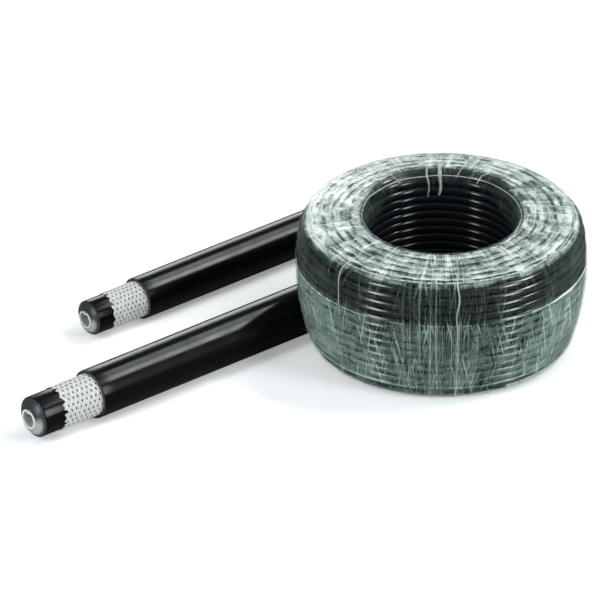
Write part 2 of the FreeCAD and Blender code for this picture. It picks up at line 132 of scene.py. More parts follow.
turns = lay_turns()
hose_line = bpy.data.curves.new("coil_hose", "CURVE")
hose_line.dimensions = "3D"
hose_line.bevel_depth = HOSE_WIDTH / 2
hose_line.bevel_resolution = 3
hose_line.use_fill_caps = True
hose_spline = hose_line.splines.new("NURBS")
hose_spline.points.add(len(turns) - 1)
outward = 1 / (0.75 + 0.25 * math.cos(2 * math.pi / TURN_POINTS))
for number, (across, up) in enumerate(turns):
    angle = 2 * math.pi * number / TURN_POINTS
    across *= outward
    place = (across * math.cos(angle), across * math.sin(angle), up, 1)
    hose_spline.points[number].co = place
hose_spline.order_u = 3
hose_spline.use_endpoint_u = True
hose_spline.resolution_u = 3
hose_spline.use_smooth = True
coil_hose = bpy.data.objects.new("coil_hose", hose_line)
bpy.context.collection.objects.link(coil_hose)


def finish_named(name, colour, roughness):
    """A new finish: its node tree and its shader."""
    finish = bpy.data.materials.new(name)
    finish.use_nodes = True
    shader = finish.node_tree.nodes["Principled BSDF"]
    shader.inputs["Base Color"].default_value = (*colour, 1)
    shader.inputs["Roughness"].default_value = roughness
    return finish, finish.node_tree, shader


def step_node(tree, kind, feeds=(), **settings):
    """Adds a node, with its settings and what feeds its inputs in order."""
    made = tree.nodes.new("ShaderNode" + kind)
    for key, value in settings.items():
        setattr(made, key, value)
    for socket, value in feeds.items() if isinstance(feeds, dict) else enumerate(feeds):
        if isinstance(value, bpy.types.NodeSocket):
            tree.links.new(value, made.inputs[socket])
        elif value is not None:
            made.inputs[socket].default_value = value
    return made


def maths(tree, operation, *values, clamp=False):
    return step_node(tree, "Math", values, operation=operation, use_clamp=clamp).outputs[0]


def ramp(tree, value, stops, smooth=False):
    """A value led through stops of (place, level)."""
    made = step_node(tree, "ValToRGB", (value,))
    band = made.color_ramp
    band.interpolation = "EASE" if smooth else "LINEAR"
    while len(band.elements) < len(stops):
        band.elements.new(0.5)
    for element, (place, level) in zip(band.elements, stops):
        element.position = place
        element.color = (*level, 1) if isinstance(level, tuple) else (level, level, level, 1)
    return made.outputs[0]


def grain(tree, vector, scale, detail=3):
    feeds = {"Vector": vector, "Scale": scale, "Detail": detail, "Roughness": 0.6}
    return step_node(tree, "TexNoise", feeds).outputs[0]


def bumps(tree, shader, height, strength, distance):
    feeds = {"Strength": strength, "Distance": distance, "Height": height}
    made = step_node(tree, "Bump", feeds)
    tree.links.new(made.outputs[0], shader.inputs["Normal"])


hose_finish, tree, shader = finish_named("gloss_hose", (0.006, 0.008, 0.010), 0.2)
spot = step_node(tree, "TexCoord").outputs["Object"]
scuffs = grain(tree, spot, 60)
uneven = ramp(tree, scuffs, [(0.3, 0.11), (0.75, 0.22)])
tree.links.new(uneven, shader.inputs["Roughness"])
level = step_node(tree, "VectorMath", (spot, (1, 1, 0)), operation="MULTIPLY").outputs[0]
reach = step_node(tree, "VectorMath", (level,), operation="LENGTH").outputs["Value"]
under_film = ramp(tree, reach, [(0.118, 0.3), (0.145, 0.6)])
tree.links.new(under_film, shader.inputs["Specular IOR Level"])
bumps(tree, shader, scuffs, 0.15, 0.0006)
hose_line.materials.append(hose_finish)
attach(coil_hose, "coil")
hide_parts("hose_winding")
start = hose_spline.points[0].co
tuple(start[:3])


# The inner layers of the same hose, which the outer turns hide but for slits and the coil's
# underside. One closed ring with a groove between each turn and the next, in the hose's black.
def grooved(places, depth, pitch):
    """A line of places drawn in between turns, square to the way that it runs."""
    made, travelled = [], 0
    for before, here, after in zip(places, places[1:], places[2:]):
        travelled += math.dist(before, here)
        way = Vector((after[0] - before[0], after[1] - before[1])).normalized()
        off = (travelled % pitch) / pitch - 0.5
        sunk = depth * (1 - math.sqrt(max(0, 1 - 4 * off * off)))
        made.append((here[0] + way.y * sunk, here[1] - way.x * sunk))
    return made


def spun(places, steps, closed):
    """A skin turned about the coil's axis from places in its section. It keeps how far along
    the section each place is, and how many turns of hose lie before it."""
    skin = bmesh.new()
    along = skin.verts.layers.float.new("along")
    lap = skin.verts.layers.float.new("lap")
    corners = [skin.verts.new((across, 0, up)) for across, up in places]
    travelled = 0
    for number, (corner, place) in enumerate(zip(corners, places)):
        travelled += math.dist(places[number - 1], place) if number else 0
        nearest = min(range(len(turns)), key=lambda turn: math.dist(turns[turn], place))
        corner[along] = travelled
        corner[lap] = nearest / TURN_POINTS
    edges = [skin.edges.new(pair) for pair in zip(corners, corners[1:])]
    if closed:
        edges.append(skin.edges.new((corners[-1], corners[0])))
    bmesh.ops.spin(
        skin,
        geom=corners + edges,
        axis=(0, 0, 1),
        cent=(0, 0, 0),
        angle=2 * math.pi,
        steps=steps,
        use_merge=True,
    )
    bmesh.ops.remove_doubles(skin, verts=skin.verts, dist=0.00001)
    bmesh.ops.recalc_face_normals(skin, faces=skin.faces)
    return skin


def piece_from(name, shape, finish, body, node):
    """A finished piece in the frame, from a shape that is no longer worked on."""
    mesh = bpy.data.meshes.new(name)
    for face in shape.faces:
        face.smooth = True
    shape.to_mesh(mesh)
    shape.free()
    piece = bpy.data.objects.new(name, mesh)
    bpy.context.collection.objects.link(piece)
    mesh.materials.append(finish)
    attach(piece, body)
    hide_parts(node)
    return piece


INNER_DEPTH, INNER_LIFT = 0.0152, 0.0019
SIDE_GROOVE, UNDER_GROOVE = 0.0022, 0.0045
under = run((0.1745, INNER_LIFT), (0.1265, INNER_LIFT), 0.0008)
side_places = [place for place in coil_section(INNER_DEPTH, 0.0012) if place[1] > FOOT_ROUND]
inner_places = grooved(side_places, SIDE_GROOVE, TURN_PITCH)
inner_places += grooved(under, UNDER_GROOVE, TURN_PITCH)
inner_skin = spun(inner_places, 120, True)
piece_from("inner_turns", inner_skin, hose_finish, "coil", "coil_core")


# The film's cross wrap: clear stretch film, wound round and round through the bore by hand,
# so that it lies cloudy over the crown, nearly clear over the glossy shoulder, and drawn in
# at the bore's rim. It bridges from turn to turn, in fine streaks and creases.
FILM_LIP = 0.022
FILM_STEP = 0.0026
FILM_SPINS = 288


def film_line():
    """The film's outside in the coil's section, from its edge inside the bore over the crown,
    down the side and under the base to its other edge."""
    wall = RIM_CENTRE[0] - RIM_ROUND
    over = coil_section(0, FILM_STEP)
    places = run((wall, RIM_CENTRE[1] - FILM_LIP), (wall, RIM_CENTRE[1]), FILM_STEP)
    places += [place for place in over if place[1] >= RIM_CENTRE[1] or place[0] > wall + 0.01]
    places += run((FOOT_CENTRE[0], 0), (wall, 0), 0.004)
    places += run((wall, 0), (wall, FILM_LIP), 0.004)
    return places


def bridge_turns(skin, slack, crease, seed):
    """Draws film in a little between the turns under it, and creases it."""
    for corner in skin.verts:
        x, y, z = corner.co
        across = math.hypot(x, y)
        angle = math.atan2(y, x) % (2 * math.pi)
        first = round(angle / (2 * math.pi) * TURN_POINTS) % TURN_POINTS
        near = min(turns[first::TURN_POINTS], key=lambda turn: math.dist(turn, (across, z)))
        gap = math.dist(near, (across, z))
        drawn = min(0.0014, slack * max(0, gap - HOSE_DEPTH))
        way = Vector((x / across, y / across, 0)) * 26 + Vector((0, 0, z * 60 + seed))
        drawn += crease * (noise.noise(way) + 0.5 * noise.noise(way * 2.3))
        inward = Vector((near[0] - across, near[1] - z)).normalized() * max(0, drawn)
        corner.co += Vector((x / across * inward.x, y / across * inward.x, inward.y))


def film_finish(name, seed, length, zones, drawn_back):
    """Clear film that is cloudy in patches and in arcs over the turns, with fine creases. It
    clouds more where it is seen aslant. The zones say how cloudy it is along its section."""
    finish, tree, shader = finish_named(name, (0.7, 0.8, 0.72), 0.2)
    spot = step_node(tree, "TexCoord").outputs["Object"]
    place = step_node(tree, "SeparateXYZ", (spot,)).outputs
    angle = maths(tree, "ARCTAN2", place[0], maths(tree, "MULTIPLY", place[1], -1))
    facing = maths(tree, "COSINE", angle)
    along = step_node(tree, "Attribute", attribute_name="along").outputs["Fac"]
    lap = step_node(tree, "Attribute", attribute_name="lap").outputs["Fac"]
    behind = maths(tree, "MULTIPLY_ADD", facing, -0.5, 0.5)
    open_back = ramp(tree, behind, [(0.72, 0), (0.91, 1)], True)
    far = maths(tree, "MULTIPLY_ADD", open_back, -drawn_back, along)

    def streaks(around, across, slant, shift, stops):
        """Streaks so many to the radian, and to the metre, that lean with the slant."""
        leaning = maths(tree, "MULTIPLY_ADD", along, slant, angle)
        east = maths(tree, "MULTIPLY_ADD", maths(tree, "COSINE", leaning), around, shift + seed)
        north = maths(tree, "MULTIPLY", maths(tree, "SINE", leaning), around)
        up = maths(tree, "MULTIPLY", along, across)
        vector = step_node(tree, "CombineXYZ", (east, north, up)).outputs[0]
        return ramp(tree, grain(tree, vector, 1, 2), stops)

    phase = maths(tree, "SUBTRACT", lap, maths(tree, "DIVIDE", angle, 2 * math.pi))
    wave = maths(tree, "PINGPONG", maths(tree, "ADD", phase, 0.25), 0.5)
    patches = streaks(6, 38, 1.2, 0, [(0.36, 0), (0.62, 1)])
    arcs = streaks(8, 70, 0, 30, [(0.43, 0), (0.58, 1)])
    touching = maths(tree, "MULTIPLY", ramp(tree, wave, [(0.10, 1), (0.28, 0)]), arcs)
    rings = streaks(6, 290, 0, 60, [(0.44, 0), (0.6, 1)])
    groups = streaks(7, 14, 0.6, 90, [(0.42, 0.1), (0.58, 1)])
    creases = streaks(58, 9, 0.9, 120, [(0.58, 0), (0.68, 1)])
    strands = streaks(44, 6, -1.2, 150, [(0.59, 0), (0.68, 1)])
    folds = streaks(17, 5, 0.5, 180, [(0.56, 0), (0.66, 1)])
    # Tiny white dashes along the film: painted glints, which whiten it in small spots.
    painted_glint_dashes = streaks(40, 420, 0, 210, [(0.6, 0), (0.68, 1)])
    upright = streaks(95, 3, 0, 240, [(0.55, 0), (0.66, 1)])
    upright = maths(tree, "MULTIPLY", upright, ramp(tree, facing, [(0.94, 0), (0.985, 1)]))

    cloud = maths(tree, "MULTIPLY_ADD", patches, 0.45, 0.26)
    cloud = maths(tree, "MULTIPLY_ADD", rings, 0.2, cloud)
    cloud = maths(tree, "MULTIPLY_ADD", folds, 0.2, cloud)
    cloud = maths(tree, "MULTIPLY", cloud, maths(tree, "MULTIPLY_ADD", touching, -0.7, 1))
    lines = maths(tree, "MULTIPLY", maths(tree, "MAXIMUM", creases, strands), groups)
    lines = maths(tree, "MAXIMUM", lines, upright)
    zone = ramp(tree, maths(tree, "DIVIDE", far, length), zones)
    aslant = step_node(tree, "LayerWeight", (0.5,)).outputs["Facing"]
    seen = ramp(tree, aslant, [(0.05, 0.18), (0.3, 0.5), (0.5, 0.95), (0.7, 1.0)])
    haze = maths(tree, "ADD", cloud, maths(tree, "MULTIPLY_ADD", seen, 0.6, -0.6))
    haze = maths(tree, "MULTIPLY", maths(tree, "MAXIMUM", haze, 0), zone)
    alpha = maths(tree, "MULTIPLY", haze, maths(tree, "MULTIPLY_ADD", seen, 0.7, 0.3))
    there = maths(tree, "MINIMUM", maths(tree, "MULTIPLY", zone, 4), 0.8)
    for layer, share in ((lines, 0.5), (painted_glint_dashes, 0.22)):
        alpha = maths(tree, "MULTIPLY_ADD", layer, maths(tree, "MULTIPLY", there, share), alpha)
    thin, milky, white = (0.44, 0.66, 0.55), (0.62, 0.73, 0.67), (0.84, 0.89, 0.86)
    colour = ramp(tree, alpha, [(0.0, thin), (0.5, milky), (1.0, white)])
    tree.links.new(colour, shader.inputs["Base Color"])
    tree.links.new(maths(tree, "MINIMUM", alpha, 1), shader.inputs["Alpha"])
    height = maths(tree, "ADD", maths(tree, "ADD", creases, rings), folds)
    bumps(tree, shader, height, 0.4, 0.0006)
    return finish


places = film_line()
film_length = sum(math.dist(*pair) for pair in zip(places, places[1:]))
cross_skin = spun(places, FILM_SPINS, False)
bridge_turns(cross_skin, 0.4, 0.0005, 3)
cross_finish = film_finish(
    "clear_film",
    11,
    film_length,
    [
        (0.0, 0.0),
        (0.03, 0.06),
        (0.10, 0.1),
        (0.118, 1.15),
        (0.25, 1.25),
        (0.275, 1.9),
        (0.292, 1.6),
        (0.308, 0.10),
        (0.42, 0.08),
        (0.46, 0.3),
        (0.74, 0.34),
        (0.85, 0.4),
        (0.96, 0.4),
        (1.0, 0.0),
    ],
    0.020,
)
cross_wrap = piece_from("cross_wrap", cross_skin, cross_finish, "coil", "film_cross_wrap")


# The film's girth band: more of the same film, wound round the coil's lower side after the
# cross wrap. Its top edge stops below the glossy shoulder, and it shows every turn.
GIRTH_LOW, GIRTH_HIGH = 0.020, 0.138
GIRTH_SLACK = 0.0010


def girth_line():
    radius = BELLY_ROUND + GIRTH_SLACK
    first = math.asin((GIRTH_HIGH - BELLY_CENTRE[1]) / radius)
    last = math.asin((GIRTH_LOW - BELLY_CENTRE[1]) / radius)
    return bend(BELLY_CENTRE, radius, first, last, FILM_STEP)


places = girth_line()
girth_length = sum(math.dist(*pair) for pair in zip(places, places[1:]))
girth_skin = spun(places, FILM_SPINS, False)
bridge_turns(girth_skin, 0.35, 0.0003, 9)
girth_zones = [(0.0, 2.4), (0.012, 2.0), (0.03, 0.4), (0.5, 0.45), (0.97, 0.45), (1.0, 1.2)]
girth_finish = film_finish("girth_film", 37, girth_length, girth_zones, 0)
girth_wrap = piece_from("girth_wrap", girth_skin, girth_finish, "coil", "film_girth_wrap")


# Creases and gathered ribbons of the film, where its turns were pulled tight over the crown
# and into the bore, and its bunched edges about the bore's rim and the crown's. Each is a
# raised fold that catches the light.
FOLDS = [
    # where it starts and ends: degrees about the coil from its right, metres along; width
    (91, 0.012, 90, 0.110, 0.0080),
    (100, 0.010, 98, 0.105, 0.0040),
    (78, 0.040, 74, 0.118, 0.0030),
    (62, 0.036, 57, 0.116, 0.0036),
    (34, 0.046, 21, 0.120, 0.0040),
    (14, 0.048, 4, 0.150, 0.0044),
    (352, 0.044, 345, 0.110, 0.0030),
    (322, 0.050, 316, 0.128, 0.0034),
    (300, 0.046, 297, 0.120, 0.0028),
    (279, 0.052, 275, 0.196, 0.0044),
    (262, 0.050, 259, 0.122, 0.0026),
    (236, 0.048, 240, 0.128, 0.0046),
    (222, 0.050, 226, 0.205, 0.0040),
    (208, 0.046, 213, 0.112, 0.0036),
    (188, 0.046, 197, 0.128, 0.0064),
    (170, 0.046, 162, 0.120, 0.0040),
    (146, 0.044, 141, 0.116, 0.0034),
    (122, 0.040, 126, 0.112, 0.0032),
]
RIM_EDGE = (0.043, 0.0024, 0.0012)
CREST_EDGE = (0.121, 0.0044, 0.0016)
lie = film_line()
lie_along = [0]
for pair in zip(lie, lie[1:]):
    lie_along.append(lie_along[-1] + math.dist(*pair))


def on_film(turn, along, lift):
    """A place on the film's outside, lifted square to it."""
    number = min(range(1, len(lie) - 1), key=lambda index: abs(lie_along[index] - along))
    before, here, after = lie[number - 1], lie[number], lie[number + 1]
    way = Vector((after[0] - before[0], after[1] - before[1])).normalized()
    share = along - lie_along[number]
    across = here[0] + way.x * share - way.y * lift
    up = here[1] + way.y * share + way.x * lift
    return Vector((across * math.cos(turn), across * math.sin(turn), up))


def along_crease(first, start, last, stop, width, sway):
    """A rule for a crease: where it lies, for a place across it and a share of its length."""

    def where(side, share):
        along = start + (stop - start) * share
        wander = noise.noise(Vector((sway, share * 4, 0)))
        turn = math.radians(first + (last - first) * share + 1.6 * wander)
        narrow = 0.55 + 0.45 * math.sin(math.pi * min(1, share * 1.15))
        narrow *= 1 + 0.3 * noise.noise(Vector((sway, share * 9, 3)))
        ridge = 0.0011 * (1 - side * side) * narrow + 0.0002
        reach = max(0.1, math.hypot(*on_film(0, along, 0).xy))
        turn += side * width / 2 * narrow / reach
        return on_film(turn, along, ridge)

    return where


def around_edge(along, width, wander, sway):
    """The same rule for a bunched edge that goes once round the coil."""

    def where(side, share):
        turn = 2 * math.pi * share
        way = Vector((math.cos(turn), math.sin(turn), 0))
        shift = Vector((0, 0, sway))
        drift = wander * (noise.noise(way * 3 + shift) + 0.4 * noise.noise(way * 14 + shift))
        narrow = 1 + 0.5 * noise.noise(way * 9 + shift)
        ridge = 0.0008 * (1 - side * side) * narrow + 0.0002
        return on_film(turn, along + drift + side * width / 2 * narrow, ridge)

    return where


def lay_fold(folds, fold_map, rows, where, long):
    """Lays one narrow strip by its rule."""
    strip = bmesh.ops.create_grid(folds, x_segments=6, y_segments=rows, size=0.5)["verts"]
    marks = {}
    for corner in strip:
        side, share = corner.co.x * 2, corner.co.y + 0.5
        corner.co = where(side, share)
        marks[corner] = (side, long * share)
    for face in {face for corner in strip for face in corner.link_faces}:
        for loop in face.loops:
            loop[fold_map].uv = marks[loop.vert]


folds = bmesh.new()
fold_map = folds.loops.layers.uv.new("fold_map")
random.seed(5)
for crease in FOLDS:
    rows = round((crease[3] - crease[1]) / 0.0025)
    lay_fold(folds, fold_map, rows, along_crease(*crease, random.uniform(0, 50)), 1)
lay_fold(folds, fold_map, 360, around_edge(*RIM_EDGE, 60), 30)
lay_fold(folds, fold_map, 360, around_edge(*CREST_EDGE, 80), 25)
bmesh.ops.recalc_face_normals(folds, faces=folds.faces)
fold_finish, tree, shader = finish_named("gathered_film", (0.72, 0.79, 0.74), 0.22)
places = step_node(tree, "UVMap", uv_map="fold_map").outputs[0]
parts = step_node(tree, "SeparateXYZ", (places,)).outputs
edge = ramp(tree, maths(tree, "ABSOLUTE", parts[0]), [(0.2, 1), (1.0, 0)], True)
stretched = step_node(tree, "Mapping", {"Vector": places, "Scale": (2.5, 7, 1)}).outputs[0]
strand = grain(tree, stretched, 1)
thick = ramp(tree, strand, [(0.35, 0.1), (0.62, 0.9)])
tree.links.new(maths(tree, "MULTIPLY", edge, thick), shader.inputs["Alpha"])
tint = ramp(tree, strand, [(0.3, (0.44, 0.52, 0.47)), (0.65, (0.86, 0.9, 0.87))])
tree.links.new(tint, shader.inputs["Base Color"])
bumps(tree, shader, strand, 0.5, 0.0006)
piece_from("film_folds", folds, fold_finish, "coil", "film_cross_wrap")


# The inner tubes of the two cut-back lengths: thick black rubber, cut square and ground to a
# low dome at the near end, with the rim rounded over. Glossy on the outside.
LENGTHS = {
    "front": {
        "near": (-0.5954, -0.3049, 0.037),
        "cover": (0.104, 0.0370, 0.0326),
        "braid": (0.040, 0.0324, 0.0312),
        "tube": (0.0078, 0.0310, 0.0154),
        "dome": (0.024, 0.003),
        "liner": (0.0152, 0.0125, 0.485),
        "far": 0.566,
    },
    "back": {
        "near": (-0.5206, -0.0089, 0.0318),
        "cover": (0.0915, 0.0318, 0.0279),
        "braid": (0.0325, 0.0277, 0.0266),
        "tube": (0.0056, 0.0264, 0.0137),
        "dome": (0.021, 0.0026),
        "liner": (0.0135, 0.0111, 0.500),
        "far": 0.500,
    },
}
LENGTHS_TURN = math.radians(38.9)
LENGTHS_WAY = Vector((math.cos(LENGTHS_TURN), math.sin(LENGTHS_TURN), 0))
COPE_START, COPE_END = 0.44, 0.566
COIL_ROOM = 0.00245
LIP_STANDS_OUT = 0.0008
PINCH_RUN = 0.016


def lie_of(side):
    """Where a length lies: its near end, and the way that it points."""
    near = Matrix.Translation(LENGTHS[side]["near"])
    return near @ Matrix.Rotation(LENGTHS_TURN, 4, "Z")


def to_coil(place, lay):
    """How far along its own length a place on the front length meets the coil's side."""
    world = lay @ Vector((0, place.y, place.z))
    drop = world.z - BELLY_CENTRE[1]
    reach = BELLY_CENTRE[0] + math.sqrt(BELLY_ROUND**2 - drop**2)
    if world.z < FOOT_CENTRE[1]:
        lean = math.sqrt(max(0, FOOT_ROUND**2 - (world.z - FOOT_CENTRE[1]) ** 2))
        reach = min(reach, FOOT_CENTRE[0] + lean)
    reach += COIL_ROOM
    aside = world.xy.cross(LENGTHS_WAY.xy)
    return -world.xy.dot(LENGTHS_WAY.xy) - math.sqrt(reach**2 - aside**2)


def turned_tube(side, places, steps=96):
    """A tube of the length named, from places (along, radius) round its section. One that
    goes all the way to the coil is brought to its side there."""
    lay = lie_of(side)
    shape = bmesh.new()
    travel = shape.verts.layers.float.new("along")
    corners = [shape.verts.new((along, 0, radius)) for along, radius in places]
    for corner, (along, radius) in zip(corners, places):
        corner[travel] = along
    edges = [shape.edges.new(pair) for pair in zip(corners, corners[1:] + corners[:1])]
    bmesh.ops.spin(
        shape,
        geom=corners + edges,
        axis=(1, 0, 0),
        cent=(0, 0, 0),
        angle=2 * math.pi,
        steps=steps,
        use_merge=True,
    )
    bmesh.ops.remove_doubles(shape, verts=shape.verts, dist=0.00001)
    pattern = shape.loops.layers.uv.new("length_map")
    for face in shape.faces:
        middle = face.calc_center_median()
        home = math.atan2(middle.y, middle.z) / (2 * math.pi)
        for loop in face.loops:
            place = loop.vert.co
            turned = math.atan2(place.y, place.z) / (2 * math.pi)
            turned += round(home - turned)
            loop[pattern].uv = (turned, loop.vert[travel])
    if max(places)[0] == COPE_END:
        for corner in shape.verts:
            share = max(0, corner.co.x - COPE_START) / (COPE_END - COPE_START)
            if share:
                corner.co.x = COPE_START + share * (to_coil(corner.co, lay) - COPE_START)
    shape.transform(lay)
    bmesh.ops.recalc_face_normals(shape, faces=shape.faces)
    for edge in shape.edges:
        edge.smooth = edge.calc_face_angle(0) < math.radians(35)
    return shape


def rubber_finish(name, colour, roughness, gloss):
    """Extruded rubber: faint lines along it, and a slightly uneven gloss."""
    finish, tree, shader = finish_named(name, colour, roughness)
    shader.inputs["Specular IOR Level"].default_value = gloss
    places = step_node(tree, "UVMap", uv_map="length_map").outputs[0]
    lines = step_node(tree, "Mapping", {"Vector": places, "Scale": (240, 4, 1)}).outputs[0]
    mottle = grain(tree, step_node(tree, "TexCoord").outputs["Object"], 25)
    uneven = ramp(tree, mottle, [(0.3, roughness * 0.85), (0.7, roughness * 1.2)])
    tree.links.new(uneven, shader.inputs["Roughness"])
    bumps(tree, shader, grain(tree, lines, 1), 0.08, 0.0004)
    return finish


def second_finish(piece, side, finish, start, stop):
    """Gives the faces of a length between two places along it another finish."""
    piece.data.materials.append(finish)
    for face in piece.data.polygons:
        along = (face.center - Vector(LENGTHS[side]["near"])).dot(LENGTHS_WAY)
        if start < along < stop:
            face.material_index = 1


tube_finish = rubber_finish("black_rubber_tube", (0.003, 0.003, 0.003), 0.16, 0.17)
# The dome's finish: dark rubber with fine grit, and painted light on one flank.
dome_finish, tree, shader = finish_named("ground_rubber_end_painted_light", (0.03, 0.032, 0.034), 0.38)
grit = grain(tree, step_node(tree, "TexCoord").outputs["Object"], 900)
places = step_node(tree, "UVMap", uv_map="length_map").outputs[0]
parts = step_node(tree, "SeparateXYZ", (places,)).outputs
lean = maths(tree, "MULTIPLY_ADD", parts[0], 2 * math.pi, 2.35)
# Painted light: one flank of the dome, by its angle round the tube, and most near the mouth, is
# painted pale grey as if lit. Fine grit is mixed in.
painted_lit_flank = ramp(tree, maths(tree, "COSINE", lean), [(0.1, 0.0), (0.9, 1.0)], True)
inward = ramp(tree, maths(tree, "MULTIPLY", parts[1], -160), [(0.05, 0.1), (0.7, 1.0)])
grit_and_painted_light = maths(tree, "MULTIPLY_ADD", grit, 0.25, maths(tree, "MULTIPLY", painted_lit_flank, inward))
dark, dull, pale = (0.02, 0.021, 0.023), (0.055, 0.058, 0.06), (0.4, 0.41, 0.4)
shade = ramp(tree, grit_and_painted_light, [(0.05, dark), (0.3, dull), (1.0, pale)])
tree.links.new(shade, shader.inputs["Base Color"])
bumps(tree, shader, grit, 0.25, 0.0003)
for side, length in LENGTHS.items():
    swell, outer, bore = length["tube"]
    bow, edge = length["dome"]
    far = length["far"]
    brow = outer - edge
    lean = math.atan2(swell, brow - bore)
    half = math.hypot(swell, brow - bore) / 2
    back_off = math.sqrt(bow**2 - half**2)
    below = (bore + brow) / 2 - back_off * math.sin(lean)
    centre = (-swell / 2 + back_off * math.cos(lean), below)
    first = math.atan2(brow - centre[1], 0 - centre[0])
    last = math.atan2(bore - centre[1], -swell - centre[0]) % (2 * math.pi)
    places = run((-swell, bore), (far, bore), 0.1) + [(far, bore)]
    places += run((far, outer), (edge, outer), 0.05)
    places += bend((edge, brow), edge, math.pi / 2, math.pi, 0.0005)
    places += bend(centre, bow, first, last, 0.0012)
    tube = turned_tube(side, places, 128)
    name, node = side + "_inner_tube_piece", side + "_inner_tube"
    piece = piece_from(name, tube, tube_finish, side + "_length", node)
    second_finish(piece, side, dome_finish, -1, edge * 0.4)


# The linings of the two lengths: thin white tubes that line the bore and roll over into a
# rounded lip at the mouth, where the cutter has nicked them.
NICKS = [
    # where round the mouth, how wide, both in degrees, and how deep
    (90, 17, 0.0034),
    (-125, 24, 0.0012),
]
liner_finish, tree, shader = finish_named("white_lining", (0.8, 0.82, 0.8), 0.35)
places = step_node(tree, "UVMap", uv_map="length_map").outputs[0]
# The lining is white at its lip and painted darker further into the bore, as painted shade inside
# the tube.
deep = maths(tree, "MULTIPLY_ADD", step_node(tree, "SeparateXYZ", (places,)).outputs[1], 10, 0.12)
white, pale, dim = (0.78, 0.78, 0.76), (0.42, 0.48, 0.45), (0.2, 0.24, 0.22)
tint = ramp(tree, deep, [(0.04, white), (0.07, pale), (0.5, dim)])
tree.links.new(tint, shader.inputs["Base Color"])
smear = grain(tree, step_node(tree, "TexCoord").outputs["Object"], 120)
bumps(tree, shader, smear, 0.2, 0.0005)
for side, length in LENGTHS.items():
    outer, bore, far = length["liner"]
    lip = (outer - bore) / 2
    mouth = -length["tube"][0] - LIP_STANDS_OUT
    middle = (outer + bore) / 2
    places = run((mouth, bore), (mouth + 0.02, bore), 0.002)
    places += run((mouth + 0.02, bore), (far, bore), 0.1) + [(far, bore)]
    places += run((far, outer), (mouth + 0.02, outer), 0.1)
    places += run((mouth + 0.02, outer), (mouth, outer), 0.002)
    places += bend((mouth, middle), lip, math.pi / 2, 3 * math.pi / 2, 0.0004)
    liner = turned_tube(side, places, 128)
    lay = lie_of(side)
    back = lay.inverted()
    for corner in liner.verts:
        local = back @ corner.co
        about = math.degrees(math.atan2(local.z, -local.y))
        fade = max(0, 1 - max(0, local.x - mouth) / PINCH_RUN) ** 2
        pinch = 0
        for nick, spread, depth in NICKS:
            off = (about - nick + 180) % 360 - 180
            pinch += depth * math.exp(-((off / spread) ** 2)) * fade
        shrink = 1 - pinch / math.hypot(local.y, local.z)
        corner.co = lay @ Vector((local.x, local.y * shrink, local.z * shrink))
    piece_from(side + "_lining", liner, liner_finish, side + "_length", side + "_liner")


# The braids: flat bands of white yarn that cross in a plain weave, steeply wound, and leave
# small diamond gaps over the black tube. They are cut a little aslant, and their cut ends
# make a ragged edge.
YARN_BANDS = 12
YARN_STEEPNESS = 2.0
YARN_FILL = 0.68
YARN_STEP = 0.0009
YARN_CUT_SLANT = 0.004
YARN_RISE, YARN_ROUND, YARN_SEAT = 0.0003, 0.00034, 0.0001
yarn_finish, tree, shader = finish_named("braid_yarn", (0.7, 0.71, 0.71), 0.6)
places = step_node(tree, "UVMap", uv_map="yarn_map").outputs[0]
across = step_node(tree, "SeparateXYZ", (places,)).outputs[0]
# Each band shows five strands, painted darker at their edges and lighter down their middles:
# painted shade between the strands, with noise for uneven yarn.
strands = maths(tree, "PINGPONG", maths(tree, "MULTIPLY", across, 5), 0.5)
stretched = step_node(tree, "Mapping", {"Vector": places, "Scale": (6, 160, 1)}).outputs[0]
lit = maths(tree, "MULTIPLY_ADD", strands, 0.5, grain(tree, stretched, 1))
grey, light, white = (0.26, 0.26, 0.26), (0.62, 0.61, 0.60), (0.86, 0.85, 0.84)
tint = ramp(tree, lit, [(0.38, grey), (0.6, light), (0.8, white)])
tree.links.new(tint, shader.inputs["Base Color"])
bumps(tree, shader, lit, 0.5, 0.0005)


def lay_band(braid, yarn_map, number, hand, first, last, middle):
    """One band of yarn, wound one way or the other round the tube from its cut end."""
    cross = 2 * math.pi * middle / YARN_BANDS
    lean = math.atan(YARN_STEEPNESS)
    half = cross * math.cos(lean) * YARN_FILL / 2
    home = 2 * math.pi * number / YARN_BANDS
    cut = YARN_CUT_SLANT * math.cos(home - math.radians(70))
    begin = first + cut + random.uniform(-0.0012, 0.0010)
    rows = round((last - begin) / YARN_STEP)
    mark = number + random.random()
    strip = bmesh.ops.create_grid(braid, x_segments=6, y_segments=rows, size=0.5)["verts"]
    marks = {}
    for corner in strip:
        side, share = corner.co.x * 2, corner.co.y + 0.5
        along = begin + (last - begin) * share
        wound = YARN_STEEPNESS * (along - first)
        over = hand * math.cos(2 * math.pi * wound / cross)
        turn = home + hand * (wound - side * half * math.cos(lean)) / middle
        radius = middle + YARN_RISE * over + YARN_ROUND * (1 - side**2) - YARN_SEAT
        along += side * half * math.sin(lean)
        corner.co = (along, radius * math.sin(turn), radius * math.cos(turn))
        marks[corner] = (side / 2 + 0.5 + mark, along)
    for face in {face for corner in strip for face in corner.link_faces}:
        for loop in face.loops:
            loop[yarn_map].uv = marks[loop.vert]


random.seed(3)
for side, length in LENGTHS.items():
    first, outer, inner = length["braid"]
    last, far = length["cover"][0] + 0.012, length["far"]
    body, node = side + "_length", side + "_braid"
    braid = bmesh.new()
    yarn_map = braid.loops.layers.uv.new("yarn_map")
    for hand in (1, -1):
        for number in range(YARN_BANDS):
            lay_band(braid, yarn_map, number, hand, first, last, (outer + inner) / 2)
    braid.normal_update()
    for face in braid.faces:
        middle = face.calc_center_median()
        if face.normal.dot(Vector((0, middle.y, middle.z))) < 0:
            face.normal_flip()
    braid.transform(lie_of(side))
    piece_from(side + "_braid_yarns", braid, yarn_finish, body, node)
    hidden = [(last - 0.006, inner), (far, inner), (far, outer), (last - 0.006, outer)]
    sleeve = turned_tube(side, hidden)
    piece_from(side + "_braid_under_cover", sleeve, yarn_finish, body, node)


